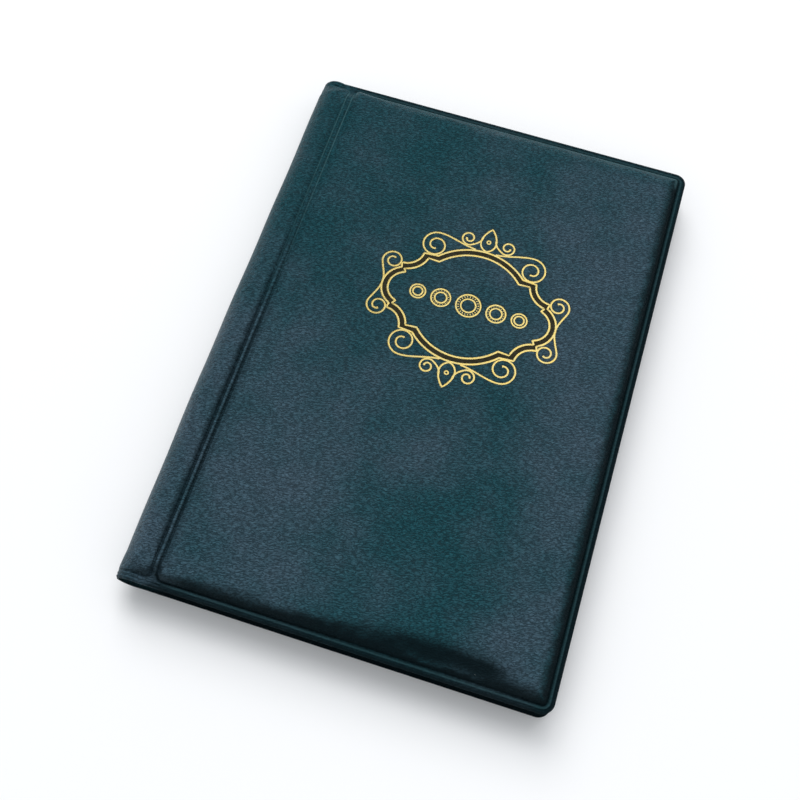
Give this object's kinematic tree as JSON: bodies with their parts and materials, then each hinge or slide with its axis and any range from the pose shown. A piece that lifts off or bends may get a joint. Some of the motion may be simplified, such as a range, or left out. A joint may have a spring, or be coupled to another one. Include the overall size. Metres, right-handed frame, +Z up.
{
  "type": "coin album",
  "caption": "Padded album with a round soft spine and welded grained covers that opens flat on fanning clear pocket pages for coins.",
  "frame": {"origin": "on the resting plane, under the middle of the closed album's outline", "axes": "+X from the spine to the fore edge, +Y from the foot to the head of the cover, +Z up out of the front cover"},
  "size_m": [0.14, 0.2, 0.016],
  "materials": {
    "cover_skin": "dark blue-green soft PVC sheet with an embossed fine leather grain, satin",
    "cover_liner": "dark blue-green PVC sheet with a fine matt grain",
    "greyboard": "raw grey bookbinding board",
    "foam": "open-cell padding foam",
    "binding_tape": "dark PVC binding tape, matt",
    "page_stub": "white opaque PVC strip, satin",
    "page_back": "white opaque PVC sheet, satin",
    "gold_foil": "hot-stamped gold foil on the front cover, bright and slightly worn",
    "page_film": "clear PVC film with weld lines, glossy"
  },
  "bodies": {
    "back_cover": {"back_panel_skin": "cover_skin", "back_panel_foam": "foam", "back_panel_board": "greyboard", "back_panel_liner": "cover_liner", "back_shoulder_skin": "cover_skin", "back_shoulder_foam": "foam", "back_shoulder_liner": "cover_liner", "back_gutter_weld": "cover_skin"},
    "spine": {"spine_skin": "cover_skin", "spine_foam": "foam", "spine_liner": "cover_liner", "page_block": "page_stub", "binding_tape": "binding_tape"},
    "front_shoulder": {"front_shoulder_skin": "cover_skin", "front_shoulder_foam": "foam", "front_shoulder_liner": "cover_liner", "front_gutter_weld": "cover_skin"},
    "front_cover": {"front_panel_skin": "cover_skin", "front_panel_foam": "foam", "front_panel_board": "greyboard", "front_panel_liner": "cover_liner"},
    "page_01": {"page_01_stub": "page_stub", "page_01_back_sheet": "page_back", "page_01_pocket_film": "page_film"},
    "page_02": {"page_02_stub": "page_stub", "page_02_back_sheet": "page_back", "page_02_pocket_film": "page_film"},
    "page_03": {"page_03_stub": "page_stub", "page_03_back_sheet": "page_back", "page_03_pocket_film": "page_film"},
    "page_04": {"page_04_stub": "page_stub", "page_04_back_sheet": "page_back", "page_04_pocket_film": "page_film"},
    "page_05": {"page_05_stub": "page_stub", "page_05_back_sheet": "page_back", "page_05_pocket_film": "page_film"},
    "page_06": {"page_06_stub": "page_stub", "page_06_back_sheet": "page_back", "page_06_pocket_film": "page_film"},
    "page_07": {"page_07_stub": "page_stub", "page_07_back_sheet": "page_back", "page_07_pocket_film": "page_film"},
    "page_08": {"page_08_stub": "page_stub", "page_08_back_sheet": "page_back", "page_08_pocket_film": "page_film"},
    "page_09": {"page_09_stub": "page_stub", "page_09_back_sheet": "page_back", "page_09_pocket_film": "page_film"},
    "page_10": {"page_10_stub": "page_stub", "page_10_back_sheet": "page_back", "page_10_pocket_film": "page_film"}
  },
  "joints": [
    {"name": "back_fold", "type": "hinge", "parent": "back_cover", "child": "spine", "pos_m": [-0.06766, 0, 0.00234], "axis": [0, -1, 0], "range_deg": [0, 90]},
    {"name": "front_fold", "type": "hinge", "parent": "spine", "child": "front_shoulder", "pos_m": [-0.06766, 0, 0.01366], "axis": [0, -1, 0], "range_deg": [0, 90]},
    {"name": "front_gutter", "type": "hinge", "parent": "front_shoulder", "child": "front_cover", "pos_m": [-0.0577, 0, 0.0125], "axis": [0, 1, 0], "range_deg": [-90, 0]},
    {"name": "page_01_turn", "type": "hinge", "parent": "spine", "child": "page_01", "pos_m": [-0.0577, 0, 0.00467], "axis": [0, -1, 0], "range_deg": [-81, 0]},
    {"name": "page_02_turn", "type": "hinge", "parent": "spine", "child": "page_02", "pos_m": [-0.0571, 0, 0.00541], "axis": [0, -1, 0], "range_deg": [-63, 0]},
    {"name": "page_03_turn", "type": "hinge", "parent": "spine", "child": "page_03", "pos_m": [-0.0565, 0, 0.00615], "axis": [0, -1, 0], "range_deg": [-45, 0]},
    {"name": "page_04_turn", "type": "hinge", "parent": "spine", "child": "page_04", "pos_m": [-0.0559, 0, 0.00689], "axis": [0, -1, 0], "range_deg": [-27, 0]},
    {"name": "page_05_turn", "type": "hinge", "parent": "spine", "child": "page_05", "pos_m": [-0.0553, 0, 0.00763], "axis": [0, -1, 0], "range_deg": [-9, 0]},
    {"name": "page_06_turn", "type": "hinge", "parent": "spine", "child": "page_06", "pos_m": [-0.0553, 0, 0.00837], "axis": [0, -1, 0], "range_deg": [0, 9]},
    {"name": "page_07_turn", "type": "hinge", "parent": "spine", "child": "page_07", "pos_m": [-0.0559, 0, 0.00911], "axis": [0, -1, 0], "range_deg": [0, 27]},
    {"name": "page_08_turn", "type": "hinge", "parent": "spine", "child": "page_08", "pos_m": [-0.0565, 0, 0.00985], "axis": [0, -1, 0], "range_deg": [0, 45]},
    {"name": "page_09_turn", "type": "hinge", "parent": "spine", "child": "page_09", "pos_m": [-0.0571, 0, 0.01059], "axis": [0, -1, 0], "range_deg": [0, 63]},
    {"name": "page_10_turn", "type": "hinge", "parent": "spine", "child": "page_10", "pos_m": [-0.0577, 0, 0.01133], "axis": [0, -1, 0], "range_deg": [0, 81]}
  ],
  "couplings": [
    {"joint": "page_01_turn", "follows": "back_fold", "ratio": -0.9},
    {"joint": "page_02_turn", "follows": "back_fold", "ratio": -0.7},
    {"joint": "page_03_turn", "follows": "back_fold", "ratio": -0.5},
    {"joint": "page_04_turn", "follows": "back_fold", "ratio": -0.3},
    {"joint": "page_05_turn", "follows": "back_fold", "ratio": -0.1},
    {"joint": "page_06_turn", "follows": "front_fold", "ratio": 0.1},
    {"joint": "page_07_turn", "follows": "front_fold", "ratio": 0.3},
    {"joint": "page_08_turn", "follows": "front_fold", "ratio": 0.5},
    {"joint": "page_09_turn", "follows": "front_fold", "ratio": 0.7},
    {"joint": "page_10_turn", "follows": "front_fold", "ratio": 0.9}
  ]
}
